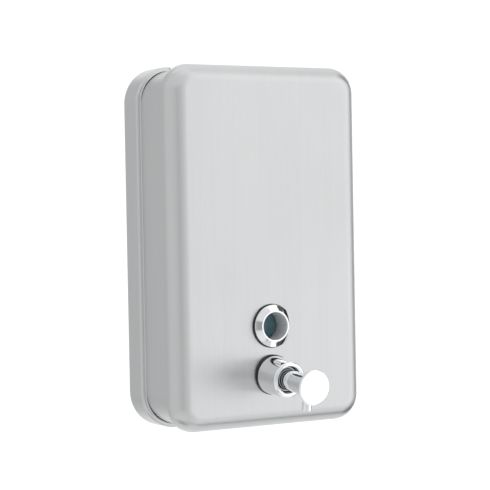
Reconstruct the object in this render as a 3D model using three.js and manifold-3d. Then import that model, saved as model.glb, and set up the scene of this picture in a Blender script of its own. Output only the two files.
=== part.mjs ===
// Wall mounted liquid soap dispenser: a welded steel tank of three formed sheets, a sunk and
// locked filler lid on top, a round sight window and a push valve that points slightly down.
// Units are millimetres. The wall is the plane y = 0, the front faces -Y and +Z is up.
// The origin is the centre of the wall plate's back face.
import * as THREE from 'three';
import { mergeVertices } from 'three/addons/utils/BufferGeometryUtils.js';
import Module from 'manifold-3d';

const wasm = await Module();
wasm.setup();

// ---- driving dimensions ----
const SHEET = 1.0; // wall of the formed steel sheets
const GAP = 0.3; // clearance between neighbouring pieces

const COVER = { width: 124, height: 206, corner: 15, fillet: 10, front: -57, rear: -45.6 };
const PAN = { width: 125.8, height: 207.8, corner: 21, rear: -0.3, front: -16.8, panel: -6 };
const BAND = { width: 121, height: 203, corner: 19.5, rear: -12, front: -47.5 };

const PLATE = { width: 64, top: 62, bottom: -99, thickness: 1.5 };
const SCREW_HOLES = { radius: 2.6, x: 22, z: [28, -70] };
const SCREW_TAB = { halfWidth: 8, front: -5.4, bottom: -98.5, top: -96.5 };
const HOOK = { x: 18, width: 14, foot: 36, top: 44, reach: 4.2, thickness: 1.3 };
const HANGER = { length: 60, lip: [-2.6, -1.8], web: [45, 46], back: -5.7, top: 57 };
const LOCK_SCREW = { y: -3.3, radius: 1.4, headRadius: 2.6, tip: -95, slot: 0.8 };
const SCREW_HEAD = { top: -104.2, bottom: -106 };

const COLLAR = { halfWidth: 41, rear: -7.6, front: -43, bottom: 97.4, top: 98.4, wall: 0.8 };
const COLLAR_RIM = { panTop: 103.6, bandTop: 101.2, step: -16.5 };
const MOUTH = { halfWidth: 33, rear: -17, front: -37, corner: 5 };
const LID = { halfWidth: 39.6, rear: -9.9, front: -41.8, bottom: 101.5, top: 102.3 };
const SKIRT = { bottom: 99, thickness: 0.8, rear: -13.8 };
const HINGE = { y: -11.3, z: 100.4, pin: 0.8, bore: 1.05, knuckle: 1.8, halfLength: 38.7 };
const LUG = { inside: 36, width: 2.4 };
const KNUCKLE = { outside: 35.4, width: 8 };
const GASKET = { bottom: 98.7, top: 101.2 };
const GASKET_OUTSIDE = { halfWidth: 38.2, rear: -13.9, front: -40.6, corner: 6 };
const GASKET_INSIDE = { halfWidth: 34.2, rear: -16.9, front: -37.6, corner: 4 };
const LOCK = { y: -31, barrel: 4.8, bore: 3.4, head: 6.4, headTop: 103.4, bottom: 96.4 };
const LOCK_NUT = { acrossFlats: 10.8, bottom: 98.9, top: 101.2 };
const TAIL = { radius: 2, rivet: 2.8, bottom: 93.4 };
const KEY_SLOT = { halfWidth: 0.5, halfLength: 2.2, depth: 3 };
const CAM = { bottom: 94.9, top: 96.1, width: 8, reach: 13.5 };

const WINDOW = { z: -45.2, tail: 9, bore: 7.9, proud: 4.3, tailEnd: -12 };
const BEZEL = { flange: 12.1, seat: 1.3, rim: 2.3, lip: 8.7 };
const BEZEL_GASKET = { radius: 12.5, rear: 0.3, front: 1 };
const SEAT = { radius: 6.6, station: -9.9 }; // the lens's shoulder inside the bezel
const LENS = { rear: -8.4, front: -7 };
const WINDOW_GASKET = { radius: 12.3, rear: -2.8 };
const WINDOW_NUT = { acrossFlats: 23, rear: -7.1, front: -3.1 };
const VALVE = { z: -73, tilt: THREE.MathUtils.degToRad(5) };
const WEDGE = { radius: 11.4, front: 1.7 }; // the tapered washer that tilts the valve
const BONNET = { rear: 2, base: 11.1, radius: 10.2, bore: 9.3, mouth: 7.4, length: 19 };
const BARREL = { radius: 7.1, bore: 6.1, rear: -20, front: 15.6 };
const FLANGE = { radius: 9, rear: 2, front: 3.6 };
const INNER_WASHER = { radius: 11.5, rear: -4 };
const VALVE_NUT = { acrossFlats: 21, rear: -9.3, front: -4.3 };
const NIPPLE = { radius: 2.8, bore: 1.3, rear: -33, front: -25.5 };
const CAGE = { radius: 2.6, neck: 1.7, rear: -24, front: -18, end: -17.3 };
const BALL = { radius: 2, station: -21.8 };
const STEM = { radius: 5.8, bore: 2.6, rear: 14 };
const BUTTON = { radius: 9.9, rear: 42.8, front: 44.5 };
const SPOUT = { at: 37, radius: 2.7, bore: 1.9, drop: 14 };
const DUCKBILL = { top: 8, collarEnd: 11, lips: 1, slit: 0.1 };
const PISTON = { bore: 1.3, radius: 5.7, spigot: 4.3, rear: -2, spring: 1.5, tip: 26 };
const PACKING = { groove: 4.4, inner: 4.7, outer: 5.95, rear: 4, front: 7 };
const INTAKE = { radius: 4.1, bore: 3.1, from: -26.5, bendFrom: -34 };
const DROP = { y: -14.5, bendTo: -79, bottom: -97.5 }; // where the intake tube hangs
const SPRING = { rear: -17, front: 1.2, radius: 3.5, wire: 0.45, turns: 7 };

const ROUND = 32; // steps round a turned piece
const SMALL_ROUND = 20; // steps round a small turned piece
const ARC = 6; // steps round a sheet's corner and over its edge
const BEYOND = 40; // how far a cutting block reaches past what it cuts

// ---- solids ----
const solidOf = (geometry) => {
  const bare = geometry.clone();
  bare.deleteAttribute('normal');
  bare.deleteAttribute('uv');
  const merged = mergeVertices(bare, 1e-4);
  const mesh = new wasm.Mesh({
    numProp: 3,
    vertProperties: new Float32Array(merged.attributes.position.array),
    triVerts: new Uint32Array(merged.index.array),
  });
  return new wasm.Manifold(mesh);
};

const geometryOf = (solid) => {
  const mesh = solid.getMesh();
  const geometry = new THREE.BufferGeometry();
  geometry.setAttribute('position', new THREE.BufferAttribute(mesh.vertProperties, 3));
  geometry.setIndex(new THREE.BufferAttribute(mesh.triVerts, 1));
  geometry.computeVertexNormals();
  return geometry;
};

const join = (...solids) => solids.reduce((all, next) => all.add(next));
const cut = (solid, ...tools) => tools.reduce((left, tool) => left.subtract(tool), solid);

const block = (x0, x1, y0, y1, z0, z1) => {
  const geometry = new THREE.BoxGeometry(x1 - x0, y1 - y0, z1 - z0);
  geometry.translate((x0 + x1) / 2, (y0 + y1) / 2, (z0 + z1) / 2);
  return solidOf(geometry);
};

// A cylinder along +X, +Y or +Z between two stations of that axis.
const roundBar = (axis, radius, from, to, centre, steps = SMALL_ROUND) => {
  const geometry = new THREE.CylinderGeometry(radius, radius, to - from, steps);
  geometry.translate(0, (from + to) / 2, 0);
  if (axis === 'x') geometry.rotateZ(-Math.PI / 2);
  if (axis === 'z') geometry.rotateX(Math.PI / 2);
  geometry.translate(...centre);
  return solidOf(geometry);
};

// A turned piece about local Y from [radius, station] pairs that close on themselves.
const turned = (profile, steps = ROUND) => {
  const closed = profile[0][0] === 0 ? profile : [...profile, profile[0]];
  const points = closed.map(([radius, station]) => new THREE.Vector2(radius, station));
  return solidOf(new THREE.LatheGeometry(points, steps));
};

const ring = (inner, outer, from, to, steps = ROUND) =>
  turned([[inner, from], [outer, from], [outer, to], [inner, to]], steps);

const disc = (radius, from, to, steps = ROUND) =>
  turned([[0, from], [radius, from], [radius, to], [0, to]], steps);

const hexNut = (acrossFlats, bore, from, to) => {
  const body = disc(acrossFlats / Math.sqrt(3), from, to, 6);
  return cut(body, disc(bore, from - 1, to + 1));
};

const roundedRect = (width, height, radius, cx = 0, cy = 0) => {
  const shape = new THREE.Shape();
  const x = width / 2 - radius;
  const y = height / 2 - radius;
  shape.absarc(cx + x, cy + y, radius, 0, Math.PI / 2);
  shape.absarc(cx - x, cy + y, radius, Math.PI / 2, Math.PI);
  shape.absarc(cx - x, cy - y, radius, Math.PI, Math.PI * 1.5);
  shape.absarc(cx + x, cy - y, radius, Math.PI * 1.5, Math.PI * 2);
  return shape;
};

// A block with round corners seen from the front, between two y stations.
const slab = (width, height, corner, rear, front) => {
  const geometry = new THREE.ExtrudeGeometry(roundedRect(width, height, corner), {
    depth: rear - front,
    bevelEnabled: false,
    curveSegments: ARC,
  });
  geometry.rotateX(Math.PI / 2);
  geometry.translate(0, rear, 0);
  return solidOf(geometry);
};

// The same with a round over its whole front edge; its rear is cut flat at y = rear.
const pillow = (inset, rear) => {
  const fillet = COVER.fillet - inset;
  const outline = roundedRect(
    COVER.width - 2 * COVER.fillet,
    COVER.height - 2 * COVER.fillet,
    COVER.corner - COVER.fillet,
  );
  const front = COVER.front + inset;
  const depth = rear - COVER.front;
  const geometry = new THREE.ExtrudeGeometry(outline, {
    depth,
    bevelThickness: fillet,
    bevelSize: fillet,
    bevelSegments: ARC,
    curveSegments: ARC,
  });
  geometry.rotateX(Math.PI / 2);
  geometry.translate(0, front + depth + fillet, 0);
  const tooDeep = block(-BEYOND * 2, BEYOND * 2, rear, BEYOND, -BEYOND * 3, BEYOND * 3);
  return cut(solidOf(geometry), tooDeep);
};

// A block with round corners seen from above.
const flatBlock = (halfWidth, rear, front, bottom, top, corner) => {
  const outline = roundedRect(2 * halfWidth, rear - front, corner, 0, (rear + front) / 2);
  const geometry = new THREE.ExtrudeGeometry(outline, {
    depth: top - bottom,
    bevelEnabled: false,
    curveSegments: 4,
  });
  geometry.translate(0, 0, bottom);
  return solidOf(geometry);
};

// ---- the assembly ----
const dispenser = new THREE.Group();

const STEEL = { color: 0xc9cbcc, roughness: 0.38, metalness: 1 };
const CHROME = { color: 0xe6e8ea, roughness: 0.06, metalness: 1 };
const ZINC = { color: 0xa9acae, roughness: 0.45, metalness: 1 };
const RUBBER = { color: 0x1d1e20, roughness: 0.8, metalness: 0 };
const WHITE_PLASTIC = { color: 0xe4e4df, roughness: 0.5, metalness: 0 };
const BLACK_PLASTIC = { color: 0x202326, roughness: 0.5, metalness: 0 };
const CLEAR_PLASTIC = {
  color: 0xbfd6d8,
  roughness: 0.05,
  metalness: 0,
  transparent: true,
  opacity: 0.4,
};

const addPart = (name, solid, finish, parent = dispenser) => {
  const mesh = new THREE.Mesh(geometryOf(solid), new THREE.MeshStandardMaterial(finish));
  mesh.name = name;
  parent.add(mesh);
};

// ---- wall fixing ----
const lockScrewHole = () =>
  roundBar('z', LOCK_SCREW.radius + GAP, SCREW_HEAD.bottom - 4, LOCK_SCREW.tip + 4, [0, LOCK_SCREW.y, 0]);

const wallPlate = () => {
  const half = PLATE.width / 2;
  const plate = block(-half, half, -PLATE.thickness, 0, PLATE.bottom, PLATE.top);
  const hooks = [-HOOK.x, HOOK.x].map((x) => {
    const [x0, x1] = [x - HOOK.width / 2, x + HOOK.width / 2];
    const leg = block(x0, x1, -HOOK.reach, -1, HOOK.foot, HOOK.foot + PLATE.thickness);
    const tongue = block(x0, x1, -HOOK.reach, HOOK.thickness - HOOK.reach, HOOK.foot, HOOK.top);
    return join(leg, tongue);
  });
  const { halfWidth, front, bottom, top } = SCREW_TAB;
  const screwTab = block(-halfWidth, halfWidth, front, -1, bottom, top);
  const screwHoles = [-SCREW_HOLES.x, SCREW_HOLES.x].flatMap((x) =>
    SCREW_HOLES.z.map((z) => roundBar('y', SCREW_HOLES.radius, -5, 5, [x, 0, z])));
  return cut(join(plate, ...hooks, screwTab), ...screwHoles, lockScrewHole());
};

// A folded strip welded to the back panel; its lip drops behind the wall plate's hooks.
const hangerBracket = () => {
  const [lipFront, lipRear] = HANGER.lip;
  const [webBottom, webTop] = HANGER.web;
  const half = HANGER.length / 2;
  const lip = block(-half, half, lipFront, lipRear, HOOK.foot + PLATE.thickness + GAP, webTop);
  const web = block(-half, half, HANGER.back, lipRear, webBottom, webTop);
  const flange = block(-half, half, HANGER.back, HANGER.back + SHEET, webBottom, HANGER.top);
  return join(lip, web, flange);
};

const lockScrew = () => {
  const { y, radius, headRadius, tip, slot } = LOCK_SCREW;
  const { top, bottom } = SCREW_HEAD;
  const shank = roundBar('z', radius, top - 0.5, tip, [0, y, 0]);
  const head = roundBar('z', headRadius, bottom, top, [0, y, 0]);
  const driverSlot = block(-BEYOND, BEYOND, y - slot / 2, y + slot / 2, bottom - 1, bottom + slot);
  return cut(join(shank, head), driverSlot);
};

addPart('wall_plate', wallPlate(), ZINC);
addPart('hanger_bracket', hangerBracket(), STEEL);
addPart('lock_screw', lockScrew(), STEEL);

// ---- tank sheets ----
const lidWell = () => {
  const half = COLLAR.halfWidth + GAP;
  return block(-half, half, COLLAR.front - GAP, COLLAR.rear + GAP, COLLAR.bottom, BEYOND * 3);
};

const bandOpening = (rear, front) =>
  slab(BAND.width + 2 * GAP, BAND.height + 2 * GAP, BAND.corner + GAP, rear, front);

const rearPan = () => {
  const inside = [PAN.width - 2 * SHEET, PAN.height - 2 * SHEET, PAN.corner - SHEET];
  return cut(
    slab(PAN.width, PAN.height, PAN.corner, PAN.rear, PAN.front),
    slab(...inside, PAN.panel - SHEET, PAN.front + SHEET),
    slab(...inside, 1, PAN.panel),
    bandOpening(PAN.front + 2, PAN.front - 1),
    lidWell(),
    lockScrewHole(),
  );
};

const bodyBand = () => cut(
  slab(BAND.width, BAND.height, BAND.corner, BAND.rear, BAND.front),
  slab(BAND.width - 2 * SHEET, BAND.height - 2 * SHEET, BAND.corner - SHEET, 0, BAND.front - 1),
  lidWell(),
);

const valveHole = () => {
  const bore = new THREE.CylinderGeometry(BARREL.radius + GAP, BARREL.radius + GAP, 12, ROUND);
  bore.rotateX(VALVE.tilt);
  bore.translate(0, COVER.front, VALVE.z);
  return solidOf(bore);
};

const frontCover = () => cut(
  pillow(0, COVER.rear),
  pillow(SHEET, COVER.rear - SHEET),
  bandOpening(COVER.rear + 1, COVER.rear - SHEET - 0.1),
  roundBar('y', WINDOW.tail + GAP, COVER.front - 5, COVER.front + 5, [0, 0, WINDOW.z], ROUND),
  valveHole(),
);

addPart('rear_pan', rearPan(), STEEL);
addPart('body_band', bodyBand(), STEEL);
addPart('front_cover', frontCover(), STEEL);

// ---- filler mouth, lid and lock ----
const hingeBore = () =>
  roundBar('x', HINGE.bore, -BEYOND * 2, BEYOND * 2, [0, HINGE.y, HINGE.z]);

const fillerCollar = () => {
  const { halfWidth, rear, front, bottom, top, wall } = COLLAR;
  const ledge = block(-halfWidth, halfWidth, front, rear, bottom, top);
  const mouth = flatBlock(MOUTH.halfWidth, MOUTH.rear, MOUTH.front, bottom - 1, top + 1, MOUTH.corner);
  const rearWall = block(-halfWidth, halfWidth, rear - wall, rear, bottom, COLLAR_RIM.panTop);
  const frontWall = block(-halfWidth, halfWidth, front, front + wall, bottom, COLLAR_RIM.bandTop);
  const sides = [-halfWidth, halfWidth - wall].flatMap((x) => [
    block(x, x + wall, COLLAR_RIM.step, rear, bottom, COLLAR_RIM.panTop),
    block(x, x + wall, front, rear, bottom, COLLAR_RIM.bandTop),
  ]);
  const lugs = [-LUG.inside - LUG.width, LUG.inside].flatMap((x) => [
    block(x, x + LUG.width, HINGE.y - HINGE.knuckle, HINGE.y + HINGE.knuckle, top - 0.5, HINGE.z),
    roundBar('x', HINGE.knuckle, x, x + LUG.width, [0, HINGE.y, HINGE.z]),
  ]);
  return cut(join(ledge, rearWall, frontWall, ...sides, ...lugs), mouth, hingeBore());
};

const fillerLid = () => {
  const { halfWidth, rear, front, bottom, top } = LID;
  const { outside, width } = KNUCKLE;
  const plate = block(-halfWidth, halfWidth, front, rear, bottom, top);
  const notches = [[-BEYOND * 2, -outside], [outside, BEYOND * 2]].map(([x0, x1]) =>
    block(x0, x1, SKIRT.rear, 0, bottom - 1, top + 1));
  const knuckles = [-outside, -width / 2, outside - width].map((x) =>
    roundBar('x', HINGE.knuckle, x, x + width, [0, HINGE.y, HINGE.z]));
  const sideSkirts = [-halfWidth, halfWidth - SKIRT.thickness].map((x) =>
    block(x, x + SKIRT.thickness, front, SKIRT.rear, SKIRT.bottom, bottom + 0.2));
  const frontSkirt =
    block(-halfWidth, halfWidth, front, front + SKIRT.thickness, SKIRT.bottom, bottom + 0.2);
  const lockHole = roundBar('z', LOCK.barrel + GAP, bottom - 1, top + 1, [0, LOCK.y, 0]);
  const body = join(cut(plate, ...notches), ...knuckles, ...sideSkirts, frontSkirt);
  return cut(body, lockHole, hingeBore());
};

const lidGasket = () => {
  const [outside, inside] = [GASKET_OUTSIDE, GASKET_INSIDE];
  const { bottom, top } = GASKET;
  return cut(
    flatBlock(outside.halfWidth, outside.rear, outside.front, bottom, top, outside.corner),
    flatBlock(inside.halfWidth, inside.rear, inside.front, bottom - 1, top + 1, inside.corner),
  );
};

const hingePin = () => {
  const { pin, halfLength, y, z } = HINGE;
  return roundBar('x', pin, -halfLength, halfLength, [0, y, z], 16);
};

// The lock's pieces are turned about local Y, which stands along +Z at the lock's centre.
const lockGroup = new THREE.Group();
lockGroup.position.set(0, LOCK.y, 0);
lockGroup.rotation.x = Math.PI / 2;
dispenser.add(lockGroup);

const lockNut = () =>
  hexNut(LOCK_NUT.acrossFlats, LOCK.barrel + GAP, LOCK_NUT.bottom, LOCK_NUT.top);

const lockBarrel = () => join(
  ring(LOCK.bore, LOCK.barrel, LOCK.bottom, LOCK.headTop, SMALL_ROUND),
  ring(LOCK.bore, LOCK.head, LID.top + GAP, LOCK.headTop, SMALL_ROUND),
);

const lockPlug = () => {
  const plug = turned([
    [0, TAIL.bottom],
    [TAIL.rivet, TAIL.bottom],
    [TAIL.rivet, CAM.bottom - GAP],
    [TAIL.radius, CAM.bottom - GAP],
    [TAIL.radius, LOCK.bottom + GAP],
    [LOCK.bore - GAP, LOCK.bottom + GAP],
    [LOCK.bore - GAP, LOCK.headTop - GAP],
    [0, LOCK.headTop - GAP],
  ], SMALL_ROUND);
  const { halfWidth, halfLength, depth } = KEY_SLOT;
  const slotFloor = LOCK.headTop - depth;
  return cut(plug, block(-halfWidth, halfWidth, slotFloor, LOCK.headTop, -halfLength, halfLength));
};

const lockCam = () => {
  const eye = disc(CAM.width / 2, CAM.bottom, CAM.top, SMALL_ROUND);
  const arm = block(0, CAM.reach, CAM.bottom, CAM.top, -CAM.width / 2, CAM.width / 2);
  return cut(join(eye, arm), disc(TAIL.radius + GAP, CAM.bottom - 1, CAM.top + 1, SMALL_ROUND));
};

addPart('filler_collar', fillerCollar(), STEEL);
addPart('hinge_pin', hingePin(), STEEL);
addPart('filler_lid', fillerLid(), STEEL);
addPart('lid_gasket', lidGasket(), RUBBER);
addPart('lock_barrel', lockBarrel(), CHROME, lockGroup);
addPart('lock_nut', lockNut(), ZINC, lockGroup);
addPart('lock_plug', lockPlug(), CHROME, lockGroup);
addPart('lock_cam', lockCam(), ZINC, lockGroup);

// ---- sight window: turned about local Y, which points out of the front face ----
const windowGroup = new THREE.Group();
windowGroup.position.set(0, COVER.front, WINDOW.z);
windowGroup.rotation.x = Math.PI;
dispenser.add(windowGroup);

const windowBezel = () => {
  const { tail, bore, proud, tailEnd } = WINDOW;
  return turned([
    [tail, BEZEL.seat],
    [BEZEL.flange, BEZEL.seat],
    [BEZEL.flange, BEZEL.rim],
    [BEZEL.lip, proud],
    [bore + 0.2, proud],
    [bore, proud - 0.2],
    [bore, SEAT.station],
    [SEAT.radius, SEAT.station],
    [SEAT.radius, tailEnd],
    [tail, tailEnd],
  ]);
};

const bezelGasket = () =>
  ring(WINDOW.tail + GAP, BEZEL_GASKET.radius, BEZEL_GASKET.rear, BEZEL_GASKET.front);

const lensSeal = () =>
  ring(SEAT.radius + 0.2, WINDOW.bore - GAP, SEAT.station + GAP, LENS.rear - GAP, SMALL_ROUND);

const windowGasket = () =>
  ring(WINDOW.tail + GAP, WINDOW_GASKET.radius, WINDOW_GASKET.rear, -SHEET - GAP);

const windowNut = () =>
  hexNut(WINDOW_NUT.acrossFlats, WINDOW.tail + GAP, WINDOW_NUT.rear, WINDOW_NUT.front);

addPart('window_bezel', windowBezel(), CHROME, windowGroup);
addPart('bezel_gasket', bezelGasket(), RUBBER, windowGroup);
addPart('window_lens', disc(WINDOW.bore - GAP, LENS.rear, LENS.front), CLEAR_PLASTIC, windowGroup);
addPart('lens_seal', lensSeal(), RUBBER, windowGroup);
addPart('window_gasket', windowGasket(), RUBBER, windowGroup);
addPart('window_nut', windowNut(), WHITE_PLASTIC, windowGroup);

// ---- push valve: turned about local Y, which points out and slightly down ----
const valveGroup = new THREE.Group();
valveGroup.position.set(0, COVER.front, VALVE.z);
valveGroup.rotation.x = Math.PI + VALVE.tilt;
dispenser.add(valveGroup);

// A block that fills one side of a plane of constant y, seen from the valve's own frame.
const beyondPlane = (fromFace, outward) => {
  const geometry = new THREE.BoxGeometry(BEYOND * 2, BEYOND, BEYOND * 2);
  const middle = fromFace + (outward ? -BEYOND / 2 : BEYOND / 2);
  geometry.translate(0, middle, 0);
  geometry.rotateX(-(Math.PI + VALVE.tilt));
  return solidOf(geometry);
};

const valveBonnet = () => {
  const { rear, base, radius, bore, mouth, length } = BONNET;
  const lip = (radius - mouth) / 2;
  const lipCentre = (radius + mouth) / 2;
  const rim = [];
  const rimSteps = 6;
  for (let i = 0; i <= rimSteps; i += 1) {
    const angle = (i / rimSteps) * Math.PI;
    rim.push([lipCentre + lip * Math.cos(angle), length - lip + lip * Math.sin(angle)]);
  }
  const shoulder = length - 5;
  return turned([[bore, rear], [base, rear], ...rim, [mouth, shoulder], [bore, shoulder]]);
};

const tiltWasher = () =>
  cut(ring(BARREL.radius + GAP, WEDGE.radius, -3, WEDGE.front), beyondPlane(-GAP, false));

const innerWasher = () =>
  cut(
    ring(BARREL.radius + GAP, INNER_WASHER.radius, INNER_WASHER.rear, 3),
    beyondPlane(SHEET + GAP, true),
  );

const valveNut = () =>
  hexNut(VALVE_NUT.acrossFlats, BARREL.radius + GAP, VALVE_NUT.rear, VALVE_NUT.front);

const valveCylinder = () => turned([
  [BARREL.bore, BARREL.rear],
  [BARREL.radius, BARREL.rear],
  [BARREL.radius, FLANGE.rear],
  [FLANGE.radius, FLANGE.rear],
  [FLANGE.radius, FLANGE.front],
  [BARREL.radius, FLANGE.front],
  [BARREL.radius, BARREL.front],
  [BARREL.bore, BARREL.front],
]);

// Closes the cylinder's rear, cages the inlet ball and ends in the nipple for the intake tube.
const cylinderCap = () => turned([
  [NIPPLE.bore, NIPPLE.rear],
  [NIPPLE.radius, NIPPLE.rear],
  [NIPPLE.radius, NIPPLE.front],
  [BARREL.radius, NIPPLE.front],
  [BARREL.radius, BARREL.rear - GAP],
  [BARREL.bore - GAP, BARREL.rear - GAP],
  [BARREL.bore - GAP, CAGE.end],
  [CAGE.neck, CAGE.end],
  [CAGE.neck, CAGE.front],
  [CAGE.radius, CAGE.front],
  [CAGE.radius, CAGE.rear],
  [NIPPLE.bore, CAGE.rear],
], SMALL_ROUND);

const inletBall = () => {
  const geometry = new THREE.SphereGeometry(BALL.radius, 16, 10);
  geometry.translate(0, BALL.station, 0);
  return solidOf(geometry);
};

// A point on the valve's axis, in the dispenser's own frame.
const onAxis = (station) => new THREE.Vector3(
  0,
  COVER.front - station * Math.cos(VALVE.tilt),
  VALVE.z - station * Math.sin(VALVE.tilt),
);

// Pushed on the nipple, then bent down to the tank's floor.
const intakeTube = () => {
  const { radius, bore, from, bendFrom } = INTAKE;
  const corner = onAxis((COVER.front - DROP.y) / Math.cos(VALVE.tilt));
  const bendStart = onAxis(bendFrom);
  const bendEnd = new THREE.Vector3(0, DROP.y, DROP.bendTo);
  const route = new THREE.CurvePath();
  route.add(new THREE.LineCurve3(onAxis(from), bendStart));
  route.add(new THREE.QuadraticBezierCurve3(bendStart, corner, bendEnd));
  route.add(new THREE.LineCurve3(bendEnd, new THREE.Vector3(0, DROP.y, DROP.bottom)));
  const wall = new THREE.Shape();
  wall.absarc(0, 0, radius, 0, Math.PI * 2);
  const hole = new THREE.Path();
  hole.absarc(0, 0, bore, 0, Math.PI * 2);
  wall.holes.push(hole);
  return solidOf(new THREE.ExtrudeGeometry(wall, {
    steps: 16,
    extrudePath: route,
    curveSegments: 6,
    bevelEnabled: false,
  }));
};

const pushButton = () => {
  const { radius, rear, front } = BUTTON;
  const edge = 0.7;
  const rounded = [];
  const steps = 4;
  for (let i = 0; i <= steps; i += 1) {
    const angle = (i / steps) * (Math.PI / 2);
    rounded.push([radius - edge + edge * Math.cos(angle), front - edge + edge * Math.sin(angle)]);
  }
  const body = turned([
    [0, STEM.rear],
    [STEM.radius, STEM.rear],
    [STEM.radius, rear - 2],
    [STEM.radius + 2, rear],
    [radius, rear],
    ...rounded,
    [0, front],
  ]);
  const spout = roundBar('z', SPOUT.radius, 0, SPOUT.drop, [0, SPOUT.at, 0]);
  const outlet = roundBar('z', SPOUT.bore, 0, SPOUT.drop + 1, [0, SPOUT.at, 0]);
  const channel = disc(STEM.bore, STEM.rear - 1, SPOUT.at + 1.5, SMALL_ROUND);
  return cut(join(body, spout), outlet, channel);
};

// A collar in the spout's bore, with two lips that meet at a slit below it.
const duckbill = () => {
  const { top, collarEnd, lips, slit } = DUCKBILL;
  const { at, bore, drop } = SPOUT;
  const collar = roundBar('z', bore - GAP, top, collarEnd, [0, at, 0]);
  const bill = block(-lips, lips, at - lips / 2, at + lips / 2, collarEnd - 0.2, drop - GAP);
  const mouth = block(0.2 - lips, lips - 0.2, at - slit, at + slit, top - 1, drop);
  return cut(join(collar, bill), mouth);
};

const plunger = () => turned([
  [PISTON.bore, PISTON.spring],
  [PISTON.spigot, PISTON.spring],
  [PISTON.spigot, PISTON.rear],
  [PISTON.radius, PISTON.rear],
  [PISTON.radius, PACKING.rear],
  [PACKING.groove, PACKING.rear],
  [PACKING.groove, PACKING.front],
  [PISTON.radius, PACKING.front],
  [PISTON.radius, STEM.rear - GAP],
  [STEM.bore - GAP, STEM.rear - GAP],
  [STEM.bore - GAP, PISTON.tip],
  [PISTON.bore, PISTON.tip],
], SMALL_ROUND);

const uPacking = () =>
  ring(PACKING.inner, PACKING.outer, PACKING.rear + GAP, PACKING.front - GAP, SMALL_ROUND);

const returnSpring = () => {
  class Helix extends THREE.Curve {
    getPoint(t, target = new THREE.Vector3()) {
      const angle = t * SPRING.turns * Math.PI * 2;
      const station = THREE.MathUtils.lerp(SPRING.rear + SPRING.wire, SPRING.front - SPRING.wire, t);
      return target.set(SPRING.radius * Math.cos(angle), station, SPRING.radius * Math.sin(angle));
    }
  }
  const wire = new THREE.Shape();
  wire.absarc(0, 0, SPRING.wire, 0, Math.PI * 2);
  const geometry = new THREE.ExtrudeGeometry(wire, {
    steps: SPRING.turns * 10,
    extrudePath: new Helix(),
    curveSegments: 3,
    bevelEnabled: false,
  });
  return solidOf(geometry);
};

addPart('valve_bonnet', valveBonnet(), CHROME, valveGroup);
addPart('tilt_washer', tiltWasher(), RUBBER, valveGroup);
addPart('inner_washer', innerWasher(), RUBBER, valveGroup);
addPart('valve_nut', valveNut(), WHITE_PLASTIC, valveGroup);
addPart('valve_cylinder', valveCylinder(), BLACK_PLASTIC, valveGroup);
addPart('cylinder_cap', cylinderCap(), BLACK_PLASTIC, valveGroup);
addPart('inlet_ball', inletBall(), WHITE_PLASTIC, valveGroup);
addPart('intake_tube', intakeTube(), WHITE_PLASTIC);
addPart('push_button', pushButton(), CHROME, valveGroup);
addPart('duckbill', duckbill(), RUBBER, valveGroup);
addPart('plunger', plunger(), WHITE_PLASTIC, valveGroup);
addPart('u_packing', uPacking(), RUBBER, valveGroup);
addPart('return_spring', returnSpring(), STEEL, valveGroup);

export default dispenser;
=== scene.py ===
"""Wall mounted soap dispenser: fine meshes, materials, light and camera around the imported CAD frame.

Lengths inside the script are millimetres and become metres when a mesh is made. The front faces -Y.
"""
import math

import bmesh
import bpy
from mathutils import Matrix, Vector


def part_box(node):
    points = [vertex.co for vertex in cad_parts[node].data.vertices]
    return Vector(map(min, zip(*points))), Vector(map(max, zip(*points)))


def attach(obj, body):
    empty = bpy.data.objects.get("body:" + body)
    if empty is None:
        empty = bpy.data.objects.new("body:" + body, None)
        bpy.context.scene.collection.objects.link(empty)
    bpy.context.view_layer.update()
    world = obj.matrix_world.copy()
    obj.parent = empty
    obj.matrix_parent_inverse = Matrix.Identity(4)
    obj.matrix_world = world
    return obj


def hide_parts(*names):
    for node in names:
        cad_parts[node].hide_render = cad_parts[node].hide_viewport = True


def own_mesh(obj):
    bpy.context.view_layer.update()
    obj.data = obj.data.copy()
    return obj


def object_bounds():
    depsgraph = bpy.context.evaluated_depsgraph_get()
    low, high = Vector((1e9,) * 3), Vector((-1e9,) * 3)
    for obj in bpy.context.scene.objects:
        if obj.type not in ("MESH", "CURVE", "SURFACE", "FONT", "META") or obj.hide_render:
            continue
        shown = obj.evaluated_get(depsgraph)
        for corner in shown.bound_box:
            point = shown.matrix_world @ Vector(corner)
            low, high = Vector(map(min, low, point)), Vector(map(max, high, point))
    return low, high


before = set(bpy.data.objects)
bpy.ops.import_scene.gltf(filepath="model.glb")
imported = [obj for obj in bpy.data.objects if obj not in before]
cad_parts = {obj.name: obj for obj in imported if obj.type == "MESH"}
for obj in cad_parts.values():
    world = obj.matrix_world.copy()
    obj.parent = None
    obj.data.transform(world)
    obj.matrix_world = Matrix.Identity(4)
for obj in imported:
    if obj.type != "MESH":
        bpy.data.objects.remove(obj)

MM = 0.001
GAP = 0.3  # clearance between neighbouring pieces
SHEET = 1.0  # wall of the formed steel sheets
# Steps round a turned piece. FINE is a multiple of six, so that a hexagon has a point at each corner.
FINE = 96
MEDIUM = 64
SMALL = 40
WHITE = (1.0, 1.0, 1.0, 1.0)

cad_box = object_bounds()


def box_mm(node):
    """A CAD node's lowest and highest corner, in millimetres."""
    low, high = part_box(node)
    return low / MM, high / MM


# ---- camera: fitted to the photo's outlines, aimed at the middle of the body's depth ----
VIEW_AZIMUTH = math.radians(-30.34)
VIEW_ELEVATION = math.radians(1.36)
VIEW_ROLL = math.radians(-1.05)
VIEW_DISTANCE = 0.96745
SENSOR_WIDTH = 36
LENS = 121.89
SHIFT_UP = 0.0016
CLIP_START = 0.01


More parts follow.
